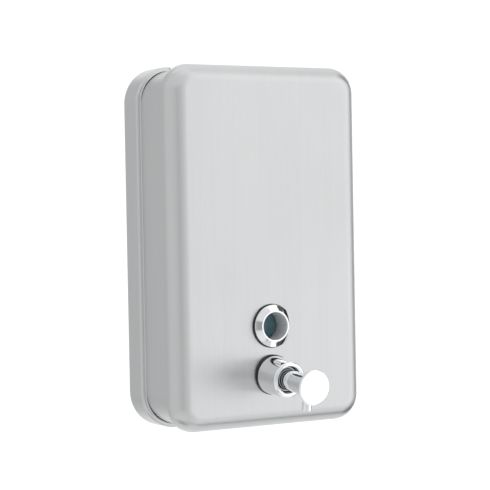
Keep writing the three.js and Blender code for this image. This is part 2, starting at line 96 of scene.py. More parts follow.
def add_camera():
    """The camera looks along its own -Z, so its three axes are worked out from the viewing angles."""
    cover_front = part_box("front_cover")[0].y
    target = Vector((0, cover_front / 2, 0))
    back = Vector((
        math.sin(VIEW_AZIMUTH) * math.cos(VIEW_ELEVATION),
        -math.cos(VIEW_AZIMUTH) * math.cos(VIEW_ELEVATION),
        math.sin(VIEW_ELEVATION),
    ))
    right = Vector((math.cos(VIEW_AZIMUTH), math.sin(VIEW_AZIMUTH), 0))
    up = back.cross(right)
    turned_right = right * math.cos(VIEW_ROLL) + up * math.sin(VIEW_ROLL)
    turned_up = back.cross(turned_right)
    facing = Matrix((turned_right, turned_up, back)).transposed().to_4x4()
    data = bpy.data.cameras.new("camera")
    data.sensor_width = SENSOR_WIDTH
    data.lens = LENS
    data.shift_y = SHIFT_UP
    data.clip_start = CLIP_START
    camera = bpy.data.objects.new("camera", data)
    camera.matrix_world = Matrix.Translation(target + back * VIEW_DISTANCE) @ facing
    bpy.context.scene.collection.objects.link(camera)
    bpy.context.scene.camera = camera


# ---- node graphs ----
class Graph:
    """Adds nodes to one node tree. An input is a plain value or another node's output socket."""

    def __init__(self, tree):
        self.tree = tree

    def add(self, kind, inputs=None, **settings):
        node = self.tree.nodes.new(kind)
        for key, value in settings.items():
            setattr(node, key, value)
        for key, value in (inputs or {}).items():
            if isinstance(value, bpy.types.NodeSocket):
                self.tree.links.new(value, node.inputs[key])
            else:
                node.inputs[key].default_value = value
        return node

    def math(self, operation, a, b=0.0):
        return self.add("ShaderNodeMath", {0: a, 1: b}, operation=operation).outputs[0]

    def smooth(self, value, low, high, to_low=0.0, to_high=1.0):
        node = self.add("ShaderNodeMapRange", {
            "Value": value, "From Min": low, "From Max": high, "To Min": to_low, "To Max": to_high,
        }, interpolation_type="SMOOTHSTEP")
        return node.outputs["Result"]

    def level(self, value, low, high):
        node = self.add("ShaderNodeMapRange", {"Value": value, "To Min": low, "To Max": high})
        return node.outputs["Result"]

    def noise(self, vector, scale, detail=2.0, roughness=0.5):
        node = self.add("ShaderNodeTexNoise", {
            "Vector": vector, "Scale": scale, "Detail": detail, "Roughness": roughness,
        })
        return node.outputs["Fac"]

    def stretched(self, vector, scale):
        return self.add("ShaderNodeMapping", {"Vector": vector, "Scale": scale}).outputs["Vector"]

    def two_tone(self, factor, a, b):
        """From colour a to colour b. The mix node repeats its socket names once for each data type."""
        node = self.add("ShaderNodeMix", {"Factor": factor}, data_type="RGBA")
        ends = {socket.name: socket for socket in node.inputs if socket.type == "RGBA"}
        ends["A"].default_value = a
        ends["B"].default_value = b
        return [socket for socket in node.outputs if socket.type == "RGBA"][0]


# ---- light: one soft studio dome, brighter and darker by direction ----
DOME = 0.86
BACKDROP = 1.1
# (name, azimuth from and to, elevation from and to, feather, brightness), with angles in degrees.
# Azimuth 0 is the front and +90 the right, and a later panel lies over an earlier one.
PANELS = (
    ("left", -181, 21, -90, 60, 8, 0.76),
    ("left_rear", -181, -136, -60, 60, 8, 0.60),
    ("by_the_camera", -43, -27, -16, 16, 5, 0.34),
    ("right_front", 22, 80, -26, 58, 8, 1.28),
    ("right_front_low", 22, 80, -90, -26, 6, 1.08),
    ("ceiling", -181, 181, 58, 91, 6, 1.00),
    ("floor_glow", -181, -12, -91, -30, 8, 0.84),
    ("right_wing_gap", 82, 106, -50, 32, 4, 0.03),
    ("upper_right_gap", 67, 100, 28, 46, 3, 0.10),
    ("lower_right_gap", 66, 86, -54, -30, 4, 0.10),
    ("lower_gap", -24, 84, -60, -56, 2, 0.30),
    ("right_rear", 118, 181, -70, 60, 6, 0.95),
    ("upper_left_gap", -110, -56, 56, 72, 6, 0.60),
    ("lower_left_gap", -110, -56, -74, -56, 6, 0.10),
)


def add_world():
    world = bpy.data.worlds.new("studio")
    world.use_nodes = True
    tree = world.node_tree
    tree.nodes.clear()
    graph = Graph(tree)
    direction = graph.add("ShaderNodeTexCoord").outputs["Generated"]
    parts = graph.add("ShaderNodeSeparateXYZ", {0: direction}).outputs
    to_front = graph.math("MULTIPLY", parts["Y"], -1.0)
    azimuth = graph.math("DEGREES", graph.math("ARCTAN2", parts["X"], to_front))
    elevation = graph.math("DEGREES", graph.math("ARCSINE", parts["Z"]))
    brightness = DOME
    for name, left, right, low, high, feather, value in PANELS:
        across = graph.math(
            "SUBTRACT",
            graph.smooth(azimuth, left - feather, left + feather),
            graph.smooth(azimuth, right - feather, right + feather),
        )
        upward = graph.math(
            "SUBTRACT",
            graph.smooth(elevation, low - feather, low + feather),
            graph.smooth(elevation, high - feather, high + feather),
        )
        share = graph.math("MULTIPLY", across, upward)
        share.node.label = name
        change = graph.math("MULTIPLY", graph.math("SUBTRACT", value, brightness), share)
        brightness = graph.math("ADD", brightness, change)
    seen_directly = graph.add("ShaderNodeLightPath").outputs["Is Camera Ray"]
    dome = graph.add("ShaderNodeBackground", {"Color": WHITE, "Strength": brightness})
    backdrop = graph.add("ShaderNodeBackground", {"Color": WHITE, "Strength": BACKDROP})
    both = graph.add("ShaderNodeMixShader", {
        0: seen_directly, 1: dome.outputs[0], 2: backdrop.outputs[0],
    })
    graph.add("ShaderNodeOutputWorld", {"Surface": both.outputs[0]})
    bpy.context.scene.world = world
    bpy.context.scene.view_settings.view_transform = "Standard"


# Metres; the floor's faint glow stands for the light that a washroom's floor sends up.
FLOOR_DROP = 0.9
FLOOR_REACH = 30.0
FLOOR_GLOW = 0.3


def add_floor():
    """A pale floor well below the dispenser, where a washroom's would be."""
    level = cad_box[0][2] - FLOOR_DROP
    corners = [
        (x * FLOOR_REACH, y * FLOOR_REACH, level) for x, y in ((-1, -1), (1, -1), (1, 1), (-1, 1))
    ]
    mesh = bpy.data.meshes.new("floor")
    mesh.from_pydata(corners, [], [(0, 1, 2, 3)])
    floor = bpy.data.objects.new("floor", mesh)
    bpy.context.scene.collection.objects.link(floor)
    material = bpy.data.materials.new("floor_paint")
    material.use_nodes = True
    graph = Graph(material.node_tree)
    where = graph.add("ShaderNodeTexCoord").outputs["Object"]
    shader = material.node_tree.nodes["Principled BSDF"]
    shader.inputs["Roughness"].default_value = 0.9
    shader.inputs["Emission Color"].default_value = WHITE
    shader.inputs["Emission Strength"].default_value = FLOOR_GLOW
    tone = graph.level(graph.noise(where, 3.0), 0.90, 0.94)
    material.node_tree.links.new(tone, shader.inputs["Base Color"])
    mesh.materials.append(material)
    floor.visible_glossy = False
    floor.visible_transmission = False


# ---- materials ----
def new_material(name, metallic, **constants):
    """A Principled material; values that are the same all over are set on its own sockets."""
    material = bpy.data.materials.new(name)
    material.use_nodes = True
    shader = material.node_tree.nodes["Principled BSDF"]
    shader.inputs["Metallic"].default_value = metallic
    for key, value in constants.items():
        shader.inputs[key.replace("_", " ")].default_value = value
    return material, Graph(material.node_tree), shader


def join(graph, shader, color, roughness, height, distance):
    """Links a colour, a roughness and a bump to the shader; distance is the bump's depth in metres."""
    links = graph.tree.links
    links.new(color, shader.inputs["Base Color"])
    links.new(roughness, shader.inputs["Roughness"])
    bump = graph.add("ShaderNodeBump", {"Height": height, "Distance": distance, "Strength": 1.0})
    links.new(bump.outputs["Normal"], shader.inputs["Normal"])


def satin_steel(name="satin_steel", from_uv=True):
    """Brushed stainless sheet: long fine scratches along the grain, faint rubbed cloudiness.

    The grain runs up the sheet's UV map, or along Z on a piece that has no such map.
    """
    material, graph, shader = new_material(name, 1.0, Anisotropic=0.85)
    coordinates = graph.add("ShaderNodeTexCoord").outputs
    flat = coordinates["UV"] if from_uv else coordinates["Object"]
    grain = (1.0, 0.022, 1.0) if from_uv else (1.0, 1.0, 0.022)
    along = graph.stretched(flat, grain)
    scratches = graph.noise(along, 2600.0, 4.0, 0.65)
    streaks = graph.noise(along, 520.0, 3.0, 0.6)
    bands = graph.noise(graph.stretched(flat, (1.0, 0.12, 1.0)), 60.0, 3.0, 0.55)
    clouds = graph.noise(coordinates["Object"], 14.0, 3.0, 0.6)
    mottle = graph.math(
        "ADD", graph.math("MULTIPLY", streaks, 0.6), graph.math("MULTIPLY", bands, 0.4),
    )
    darker, lighter = (0.676, 0.688, 0.694, 1.0), (0.700, 0.712, 0.716, 1.0)
    color = graph.two_tone(graph.smooth(mottle, 0.32, 0.68), darker, lighter)
    rough = graph.math("ADD", graph.level(scratches, 0.28, 0.36), graph.level(clouds, -0.02, 0.04))
    height = graph.math("ADD", scratches, graph.math("MULTIPLY", bands, 0.5))
    join(graph, shader, color, rough, height, 0.000004)
    if from_uv:
        tangent = graph.add("ShaderNodeTangent", direction_type="UV_MAP", uv_map="sheet")
        graph.tree.links.new(tangent.outputs[0], shader.inputs["Tangent"])
    return material


def chrome():
    """Bright plating with the faint haze and wiping marks of a used fitting."""
    material, graph, shader = new_material("chrome", 1.0)
    where = graph.add("ShaderNodeTexCoord").outputs["Object"]
    haze = graph.noise(where, 120.0, 4.0, 0.6)
    wiped = graph.noise(graph.stretched(where, (1.0, 1.0, 4.0)), 400.0, 3.0, 0.6)
    color = graph.two_tone(haze, (0.90, 0.91, 0.925, 1.0), (0.94, 0.95, 0.955, 1.0))
    rough = graph.math("ADD", graph.level(haze, 0.02, 0.06), graph.level(wiped, 0.0, 0.03))
    join(graph, shader, color, rough, haze, 0.000004)
    return material


def zinc_steel():
    """Zinc plating: a dull bluish grey with a faint crystal mottling."""
    material, graph, shader = new_material("zinc_steel", 1.0)
    where = graph.add("ShaderNodeTexCoord").outputs["Object"]
    crystals = graph.add("ShaderNodeTexVoronoi", {"Vector": where, "Scale": 420.0}).outputs["Distance"]
    clouds = graph.noise(where, 60.0, 4.0, 0.6)
    color = graph.two_tone(clouds, (0.50, 0.52, 0.55, 1.0), (0.64, 0.66, 0.68, 1.0))
    rough = graph.math("ADD", graph.level(crystals, 0.30, 0.42), graph.level(clouds, -0.04, 0.08))
    join(graph, shader, color, rough, crystals, 0.00001)
    return material


def raw_steel():
    """Plain drawn or folded steel with mill marks."""
    material, graph, shader = new_material("raw_steel", 1.0)
    where = graph.add("ShaderNodeTexCoord").outputs["Object"]
    marks = graph.noise(graph.stretched(where, (0.05, 1.0, 1.0)), 1500.0, 4.0, 0.6)
    clouds = graph.noise(where, 80.0, 3.0, 0.6)
    color = graph.two_tone(clouds, (0.52, 0.525, 0.53, 1.0), (0.66, 0.665, 0.67, 1.0))
    join(graph, shader, color, graph.level(marks, 0.26, 0.42), marks, 0.000006)
    return material


def rubber():
    """Moulded black rubber, matt, with a fine pore texture and a little dust."""
    material, graph, shader = new_material("black_rubber", 0.0)
    where = graph.add("ShaderNodeTexCoord").outputs["Object"]
    pores = graph.noise(where, 3200.0, 3.0, 0.6)
    dust = graph.smooth(graph.noise(where, 90.0, 4.0, 0.65), 0.45, 0.8)
    color = graph.two_tone(dust, (0.018, 0.018, 0.020, 1.0), (0.060, 0.060, 0.062, 1.0))
    join(graph, shader, color, graph.level(pores, 0.55, 0.82), pores, 0.00002)
    return material


def plastic(name, low, high, rough, **constants):
    """Moulded plastic: a fine even skin with slight flow marks."""
    material, graph, shader = new_material(name, 0.0, **constants)
    where = graph.add("ShaderNodeTexCoord").outputs["Object"]
    skin = graph.noise(where, 2400.0, 3.0, 0.6)
    flow = graph.noise(graph.stretched(where, (1.0, 0.3, 1.0)), 110.0, 4.0, 0.6)
    color = graph.two_tone(flow, (*low, 1.0), (*high, 1.0))
    join(graph, shader, color, graph.level(skin, rough - 0.08, rough + 0.08), skin, 0.00001)
    return material


def clear_lens():
    """Clear moulded acrylic with a faint sea-green body colour."""
    material, graph, shader = new_material("clear_lens", 0.0, IOR=1.49, Transmission_Weight=0.55)
    where = graph.add("ShaderNodeTexCoord").outputs["Object"]
    film = graph.noise(where, 160.0, 4.0, 0.6)
    color = graph.two_tone(film, (0.10, 0.24, 0.30, 1.0), (0.22, 0.40, 0.46, 1.0))
    join(graph, shader, color, graph.level(film, 0.01, 0.07), film, 0.000004)
    return material


MATERIALS = {
    "satin_steel": satin_steel(),
    "chrome": chrome(),
    "zinc_steel": zinc_steel(),
    "raw_steel": raw_steel(),
    "black_rubber": rubber(),
    "white_plastic": plastic("white_plastic", (0.74, 0.74, 0.71), (0.84, 0.84, 0.82), 0.42),
    "natural_plastic": plastic(
        "natural_plastic", (0.70, 0.72, 0.70), (0.80, 0.82, 0.80), 0.30, Transmission_Weight=0.35,
    ),
    "black_plastic": plastic("black_plastic", (0.016, 0.017, 0.019), (0.032, 0.033, 0.036), 0.40),
    "clear_lens": clear_lens(),
}
FOLDED_STEEL = satin_steel("folded_steel", from_uv=False)
# The window's bore is left as it was drilled, so it is duller than the plated face round it.
BORE_METAL = plastic("bore_metal", (0.66, 0.67, 0.68), (0.78, 0.79, 0.80), 0.5, Metallic=0.35)


# ---- pieces ----
SHARP = math.radians(32)  # a larger angle between two faces is an edge
SAME = 1e-6  # two radii or stations this close are the same one
BEYOND = 10.0  # how far a cutter reaches past what it cuts
SHEET_EDGE = 0.12


def finish_piece(piece, node, body, slot, edge=0.0):
    """Shading, soft edges, material, and the CAD node and body that the piece belongs to."""
    mesh = piece.data
    mesh.materials.clear()
    mesh.materials.append(MATERIALS[slot])
    mesh.polygons.foreach_set("use_smooth", [True] * len(mesh.polygons))
    mesh.set_sharp_from_angle(angle=SHARP)
    if edge:
        soften(piece, edge)
    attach(piece, body)
    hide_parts(node)


def soften(piece, width):
    """Rounds every sharp edge a little, as pressing and plating leave it."""
    bevel = piece.modifiers.new("soft_edges", "BEVEL")
    bevel.width = width * MM
    bevel.segments = 3
    bevel.limit_method = "ANGLE"
    bevel.angle_limit = SHARP
    bevel.use_clamp_overlap = True
    bevel.harden_normals = True
    normals = piece.modifiers.new("flat_faces", "WEIGHTED_NORMAL")
    normals.keep_sharp = False
    normals.weight = 100


def mesh_object(name, points, faces, place=Matrix.Identity(4), uvs=None):
    """A linked mesh object from points in millimetres, moved by place, which is in millimetres too."""
    mesh = bpy.data.meshes.new(name)
    mesh.from_pydata([(place @ Vector(p)) * MM for p in points], [], faces)
    if uvs:
        layer = mesh.uv_layers.new(name="sheet")
        for loop in mesh.loops:
            layer.data[loop.index].uv = Vector(uvs[loop.vertex_index]) * MM
    mesh.validate()
    outward(mesh)
    piece = bpy.data.objects.new(name, mesh)
    bpy.context.scene.collection.objects.link(piece)
    return piece


def outward(mesh):
    """Turns every face so that its normal points out of the solid."""
    work = bmesh.new()
    work.from_mesh(mesh)
    bmesh.ops.recalc_face_normals(work, faces=work.faces)
    work.to_mesh(mesh)
    work.free()


def combine(piece, tool, operation):
    """Cuts tool out of piece, or joins it on, and removes the tool."""
    step = piece.modifiers.new("combine", "BOOLEAN")
    step.object = tool
    step.operation = operation
    step.solver = "EXACT"
    bpy.context.view_layer.update()
    shaped = piece.evaluated_get(bpy.context.evaluated_depsgraph_get())
    mesh = bpy.data.meshes.new_from_object(shaped)
    piece.modifiers.remove(step)
    old = piece.data
    piece.data = mesh
    mesh.name = piece.name
    bpy.data.meshes.remove(old)
    bpy.data.objects.remove(tool)


def stacked_faces(rings, count, closed):
    """Quads between neighbouring rings of count points, and from the last ring to the first if closed."""
    pairs = [(i, i + 1) for i in range(rings - 1)]
    if closed:
        pairs.append((rings - 1, 0))
    faces = []
    for a, b in pairs:
        for k in range(count):
            n = (k + 1) % count
            faces.append((a * count + k, a * count + n, b * count + n, b * count + k))
    return faces


def arc(center, radius, start, end, steps):
    """Points round part of a circle, angles in degrees, both ends included."""
    turn = [math.radians(start + (end - start) * i / steps) for i in range(steps + 1)]
    return [(center[0] + radius * math.cos(t), center[1] + radius * math.sin(t)) for t in turn]


# Turned pieces stand on local Y. These put local Y on the lock's, window's and valve's axes, so a
# station is a distance out of the cover, or for the lock a height. LOCK_Y, VALVE_Z and TILT are the
# CAD's own, and so are the sizes in each piece below.
LOCK_Y = -31.0
COVER_FRONT = box_mm("front_cover")[0].y
WINDOW_Z = (box_mm("window_bezel")[0].z + box_mm("window_bezel")[1].z) / 2
VALVE_Z = -73.0
TILT = math.radians(5)
Y_TO_Z = Matrix.Rotation(math.pi / 2, 4, "X")
ON_LOCK = Matrix.Translation((0, LOCK_Y, 0)) @ Y_TO_Z
ON_WINDOW = Matrix.Translation((0, COVER_FRONT, WINDOW_Z)) @ Matrix.Rotation(math.pi, 4, "X")
ON_VALVE = Matrix.Translation((0, COVER_FRONT, VALVE_Z)) @ Matrix.Rotation(math.pi + TILT, 4, "X")
# The cover's holes, which the washers and nuts round the same tail or barrel repeat.
WINDOW_HOLE = 9.3
VALVE_HOLE = 7.4
POINTS_PER_THREAD = 8


def threaded(radius, start, end, pitch):
    """Profile points close enough together to carry a thread of that pitch."""
    count = max(2, round(abs(end - start) / pitch * POINTS_PER_THREAD))
    return [(radius, start + (end - start) * i / count) for i in range(count + 1)]


def turned(name, profile, place, steps=MEDIUM, thread=None, on_face=None):
    """A lathe piece about local Y from (radius, station) points.

    thread is (from, to, pitch, depth, radius): points of that radius between those stations get a
    helical groove.
    on_face is (station, distance): points at that station slide along to a plane parallel to the wall.
    """
    on_axis = profile[0][0] == 0
    rows = profile[1:-1] if on_axis else profile
    points = []
    for radius, station in rows:
        for k in range(steps):
            angle = 2 * math.pi * k / steps
            reach = radius + thread_change(thread, station, k / steps, radius)
            x, z = reach * math.cos(angle), reach * math.sin(angle)
            along = station
            if on_face and abs(station - on_face[0]) < SAME:
                along = (on_face[1] + math.sin(TILT) * z) / math.cos(TILT)
            points.append((x, along, z))
    faces = stacked_faces(len(rows), steps, closed=not on_axis)
    if on_axis:
        for ring, station in ((0, profile[0][1]), (len(rows) - 1, profile[-1][1])):
            points.append((0, station, 0))
            hub = len(points) - 1
            faces += [(ring * steps + k, ring * steps + (k + 1) % steps, hub) for k in range(steps)]
    return mesh_object(name, points, faces, place)


def thread_change(thread, station, turn, radius):
    """How far a thread's groove moves a point inwards, fading out over the last turn at each end."""
    if thread is None:
        return 0.0
    start, end, pitch, depth, thread_radius = thread
    if abs(radius - thread_radius) > SAME or not start < station < end:
        return 0.0
    phase = (station / pitch - turn) % 1.0
    fade = min(1.0, (station - start) / pitch, (end - station) / pitch)
    return -depth * fade * (1 - abs(2 * phase - 1))


def ring_profile(inner, outer, start, end, soft=0.0):
    """A ring's section, with rounded corners of radius soft."""
    if not soft:
        return [(inner, start), (outer, start), (outer, end), (inner, end)]
    return [
        *arc((inner + soft, start + soft), soft, 180, 270, 4),
        *arc((outer - soft, start + soft), soft, 270, 360, 4),
        *arc((outer - soft, end - soft), soft, 0, 90, 4),
        *arc((inner + soft, end - soft), soft, 90, 180, 4),
    ]


def hexagon_nut(name, across, bore, start, end, place):
    """A hexagon nut, its corners chamfered on both faces."""
    corner = across / math.sqrt(3)
    chamfer = corner - across / 2
    rise = chamfer * 0.6
    chamfered = across / 2 - 0.2
    rows = (
        (bore, start), (chamfered, start), (corner, start + rise),
        (corner, end - rise), (chamfered, end), (bore, end),
    )
    points = []
    for radius, station in rows:
        for k in range(FINE):
            angle = 2 * math.pi * k / FINE
            from_flat = (angle + math.pi / 6) % (math.pi / 3) - math.pi / 6
            flat = across / 2 / math.cos(from_flat)
            reach = min(radius, flat)
            rim = station
            if radius == corner:
                rim = hexagon_rim(station, (start + end) / 2, rise, (corner - flat) / chamfer)
            points.append((reach * math.sin(angle), rim, reach * math.cos(angle)))
    return mesh_object(name, points, stacked_faces(len(rows), FINE, closed=True), place)


def hexagon_rim(station, middle, rise, share):
    """The chamfer's curved edge rises towards the middle of each flat."""
    return station + (rise * share if station > middle else -rise * share)


# ---- tank sheets: rings of a rounded rectangle, one for each point of the sheet's section ----
CORNER_STEPS = 14


def outline(width, height, corner, inset):
    """Points and outward directions round a rounded rectangle that is inset from its full size."""
    radius = corner - inset
    found = []
    for sx, sz, start in ((1, 1, 0), (-1, 1, 90), (-1, -1, 180), (1, -1, 270)):
        center = (sx * (width / 2 - corner), sz * (height / 2 - corner))
        for i in range(CORNER_STEPS + 1):
            angle = math.radians(start + 90 * i / CORNER_STEPS)
            out = (math.cos(angle), math.sin(angle))
            found.append((center[0] + radius * out[0], center[1] + radius * out[1], *out))
    return found


def pressed_sheet(name, width, height, corner, section, capped=()):
    """A formed sheet from its section, a closed loop of (inset, y); capped rings are filled across.

    Its UV map is the flat blank: the distance along the section is added to the outline's own place.
    """
    runs = [0.0]
    for here, after in zip(section, section[1:]):
        runs.append(runs[-1] + math.dist(here, after))
    flat = capped[0] if capped else 0
    slack = section[flat][0] - runs[flat]
    points, uvs = [], []
    for (inset, y), run in zip(section, runs):
        spread = inset - run - slack
        for x, z, out_x, out_z in outline(width, height, corner, inset):
            points.append((x, y, z))
            uvs.append((x + out_x * spread, z + out_z * spread))
    count = 4 * (CORNER_STEPS + 1)
    faces = stacked_faces(len(section), count, closed=True)
    for ring in capped:
        faces = [f for f in faces if not spans(f, ring, ring + 1, count)]
        faces.append(tuple(range(ring * count, (ring + 1) * count)))
        faces.append(tuple(range((ring + 1) * count, (ring + 2) * count)))
    return mesh_object(name, points, faces, uvs=uvs)


def spans(face, a, b, count):
    """Whether a face joins ring a to ring b, with count points in a ring."""
    return {v // count for v in face} == {a, b}


def round_cutter(radius, start, end, place, steps=MEDIUM):
    """A cylinder to cut with, between two stations of the axis that place gives."""
    return turned("cutter", [(0, start), (radius, start), (radius, end), (0, end)], place, steps)


def block_cutter(low, high):
    """A box to cut with, from its lowest to its highest corner."""
    x0, y0, z0 = low
    x1, y1, z1 = high
    points = [(x, y, z) for x in (x0, x1) for y in (y0, y1) for z in (z0, z1)]
    faces = [(0, 1, 3, 2), (4, 6, 7, 5), (0, 4, 5, 1), (2, 3, 7, 6), (0, 2, 6, 4), (1, 5, 7, 3)]
    return mesh_object("cutter", points, faces)


def lid_well():
    """The opening in the top for the filler's collar."""
    low, high = box_mm("filler_collar")
    return block_cutter(
        (low.x - GAP, low.y - GAP, low.z), (high.x + GAP, high.y + GAP, high.z + BEYOND),
    )


BAND_SIDE = box_mm("body_band")[1].x  # the pans' rims are turned in as far as the band


def add_cover():
    """The drawn front pan: a flat face, a full round over its edge and a short side."""
    low, high = box_mm("front_cover")
    half, front, rear = high.x, low.y, high.y
    corner, fillet, hem, margin = 15.0, 10.0, 0.7, 2.0
    inner = fillet - SHEET
    section = [
        (half - BAND_SIDE, rear),
        *arc((hem, rear - hem), hem, 90, 180, 5),
        *arc((fillet, front + fillet), fillet, 180, 270, 24),
        (fillet + margin, front),
        (fillet + margin, front + SHEET),
        *arc((fillet, front + fillet), inner, 270, 180, 16),
        (SHEET, rear - SHEET),
        (half - BAND_SIDE, rear - SHEET),
    ]
    face_ring = section.index((fillet + margin, front))
    piece = pressed_sheet("cover_sheet", 2 * half, high.z - low.z, corner, section, (face_ring,))
    combine(piece, round_cutter(WINDOW_HOLE, -5, 5, ON_WINDOW), "DIFFERENCE")
    combine(piece, round_cutter(VALVE_HOLE, -6, 6, ON_VALVE), "DIFFERENCE")
    finish_piece(piece, "front_cover", "tank", "satin_steel", edge=SHEET_EDGE)


def add_band():
    """The recessed middle wrapper between the two pans."""
    low, high = box_mm("body_band")
    corner = 19.5
    section = [(0, high.y), (0, low.y), (SHEET, low.y), (SHEET, high.y)]
    piece = pressed_sheet("band_sheet", 2 * high.x, high.z - low.z, corner, section)
    combine(piece, lid_well(), "DIFFERENCE")
    finish_piece(piece, "body_band", "tank", "satin_steel", edge=SHEET_EDGE)


def add_pan():
    """The deep rear pan: a rounded front shoulder turned in to the band, and a set-back panel."""
    low, high = box_mm("rear_pan")
    half, rear, front = high.x, high.y, low.y
    corner, bend, hem, panel, bead, screw_hole = 21.0, 1.6, 0.8, -6.0, 0.8, 1.7
    turned_in = half - BAND_SIDE
    section = [
        (SHEET, panel),
        (SHEET, rear),
        *arc((hem, rear - hem), hem, 90, 180, 5),
        *arc((bend, front + bend), bend, 180, 270, 8),
        *arc((turned_in - bead, front - bead), bead, 90, 0, 6),
        (turned_in, front + SHEET),
        (bend, front + SHEET),
        (SHEET, front + bend),
        (SHEET, panel - SHEET),
    ]
    rings = section[1:] + section[:1]
    panel_ring = len(rings) - 2
    piece = pressed_sheet("pan_sheet", 2 * half, high.z - low.z, corner, rings, (panel_ring,))
    combine(piece, lid_well(), "DIFFERENCE")
    screw_low, screw_high = box_mm("lock_screw")
    upright = Matrix.Translation((0, (screw_low.y + screw_high.y) / 2, 0)) @ Y_TO_Z
    hole = round_cutter(screw_hole, low.z - BEYOND, low.z + 3 * SHEET, upright, SMALL)
    combine(piece, hole, "DIFFERENCE")
    finish_piece(piece, "rear_pan", "tank", "satin_steel", edge=SHEET_EDGE)


# ---- sight window ----
def add_window():
    """A chrome bezel screwed through the cover, a lens on its inner shoulder, and their seals."""
    flange, tail, bore, lip, proud = 12.1, 9.0, 7.9, 8.7, 4.3
    seat, rim, shoulder, lens_seat, tail_end = 1.3, 2.3, 6.6, -9.9, -12
    thread_from, thread_to, pitch, depth = -11.6, -1.6, 1.0, 0.45
    bezel = turned("sight_bezel", [
        (tail, seat),
        (flange - 0.2, seat),
        (flange, seat + 0.2),
        *arc((flange - 0.4, rim - 0.3), 0.4, 0, 55, 6),
        *arc((lip, proud - 0.5), 0.5, 55, 90, 5),
        *arc((bore + 0.3, proud - 0.3), 0.3, 90, 180, 5),
        (bore, lens_seat),
        (shoulder, lens_seat),
        (shoulder, tail_end),
        (tail - 0.3, tail_end),
        *reversed(threaded(tail, thread_to + 0.1, thread_from - 0.1, pitch)),
    ], ON_WINDOW, FINE, thread=(thread_from, thread_to, pitch, depth, tail))
    finish_piece(bezel, "window_bezel", "tank", "chrome")
    bezel.data.materials.append(BORE_METAL)
    for face in bezel.data.polygons:
        middle = ON_WINDOW.inverted() @ (face.center / MM)
        face.material_index = int(math.hypot(middle.x, middle.z) < bore + 0.05)
    rubber_ring("sight_washer", "bezel_gasket", WINDOW_HOLE, 12.5, 0.3, 1.0, soft=0.3, steps=FINE)
    lens_radius, lens_rear, lens_front = 7.6, -8.4, -7.0
    lens = turned("sight_lens", [
        (0, lens_rear),
        (lens_radius - 0.3, lens_rear),
        (lens_radius, lens_rear + 0.2),
        (lens_radius, lens_front - 0.6),
        (lens_radius - 0.3, lens_front - 0.35),
        (5, lens_front - 0.15),
        (0, lens_front),
    ], ON_WINDOW)
    finish_piece(lens, "window_lens", "tank", "clear_lens")
    rubber_ring("lens_ring", "lens_seal", 6.8, lens_radius, -9.6, -8.7, soft=0.35)
    rubber_ring("sight_gasket", "window_gasket", WINDOW_HOLE, 12.3, -2.8, -1.3, soft=0.4)
    nut = hexagon_nut("sight_nut", 23, WINDOW_HOLE, -7.1, -3.1, ON_WINDOW)
    finish_piece(nut, "window_nut", "tank", "white_plastic", edge=0.15)


def rubber_ring(name, node, inner, outer, start, end, soft, steps=MEDIUM):
    """One of the window's washers and seals, with corners of radius soft."""
    piece = turned(name, ring_profile(inner, outer, start, end, soft), ON_WINDOW, steps)
    finish_piece(piece, node, "tank", "black_rubber")


# ---- push valve ----
def add_bonnet():
    """The tapered chrome sleeve round the valve's barrel, with a thick rolled lip."""
    rear, base, radius, bore, mouth, length = 2.0, 11.1, 10.2, 9.3, 7.4, 19.0
    step = length - 5
    lip = (radius - mouth) / 2
    sleeve = turned("valve_sleeve", [
        (bore, rear),
        (base - 0.2, rear),
        (base, rear + 0.25),
        *arc((radius - lip, length - lip), lip, 3, 180, 22),
        (mouth, step),
        (bore, step),
    ], ON_VALVE, FINE)
    finish_piece(sleeve, "valve_bonnet", "tank", "chrome")


def add_button():
    """Button, stem and spout are one plated piece, drilled through; returns the spout's placement."""
    stem, stem_rear, stem_bore, neck = 5.8, 14, 2.6, 2
    head, rear, front, edge, crown = 9.9, 42.8, 44.5, 0.8, 0.05
    body = turned("button_and_spout", [
        (0, stem_rear),
        (stem - 0.3, stem_rear),
        (stem, stem_rear + 0.3),
        *arc((stem + neck, rear - neck), neck, 180, 90, 8),
        (head - 0.4, rear),
        *arc((head - 0.4, rear + 0.4), 0.4, 270, 360, 5)[1:],
        *arc((head - edge, front - edge), edge, 0, 84, 12),
        (head * 0.55, front - crown),
        (0, front),
    ], ON_VALVE, FINE)
    spout_at, spout, outlet, drop = 37.0, 2.7, 1.9, 14.0
    down = ON_VALVE @ Matrix.Translation((0, spout_at, 0)) @ Y_TO_Z
    tube = turned("spout", [
        (0, 0.5),
        (spout, 0.5),
        (spout, drop - 0.3),
        *arc((spout - 0.3, drop - 0.3), 0.3, 0, 90, 4)[1:],
        (0, drop),
    ], down, SMALL)
    combine(body, tube, "UNION")
    combine(body, round_cutter(outlet, 0.2, drop + 1, down, SMALL), "DIFFERENCE")
    drilled_to = spout_at + 1.5
    combine(body, round_cutter(stem_bore, stem_rear - 1, drilled_to, ON_VALVE, SMALL), "DIFFERENCE")
    finish_piece(body, "push_button", "push_button", "chrome", edge=0.1)
    return down


def add_duckbill(down):
    """A rubber sleeve whose lips flatten to a slit at the spout's end."""
    # (station, half width across, half thickness), down the outside and back up the inside
    outside = [
        (8.0, 1.5, 1.5), (8.3, 1.6, 1.6), (10.8, 1.6, 1.6),
        (11.7, 1.4, 1.2), (13.3, 1.3, 0.6), (13.7, 1.2, 0.5),
    ]
    inside = [(13.7, 0.95, 0.08), (11.2, 1.0, 0.5), (8.0, 1.0, 1.0)]
    rows = outside + inside
    points = []
    for station, across, thick in rows:
        for k in range(SMALL):
            angle = 2 * math.pi * k / SMALL
            points.append((across * math.cos(angle), station, thick * math.sin(angle)))
    piece = mesh_object("duckbill_valve", points, stacked_faces(len(rows), SMALL, closed=True), down)
    finish_piece(piece, "duckbill", "push_button", "black_rubber")


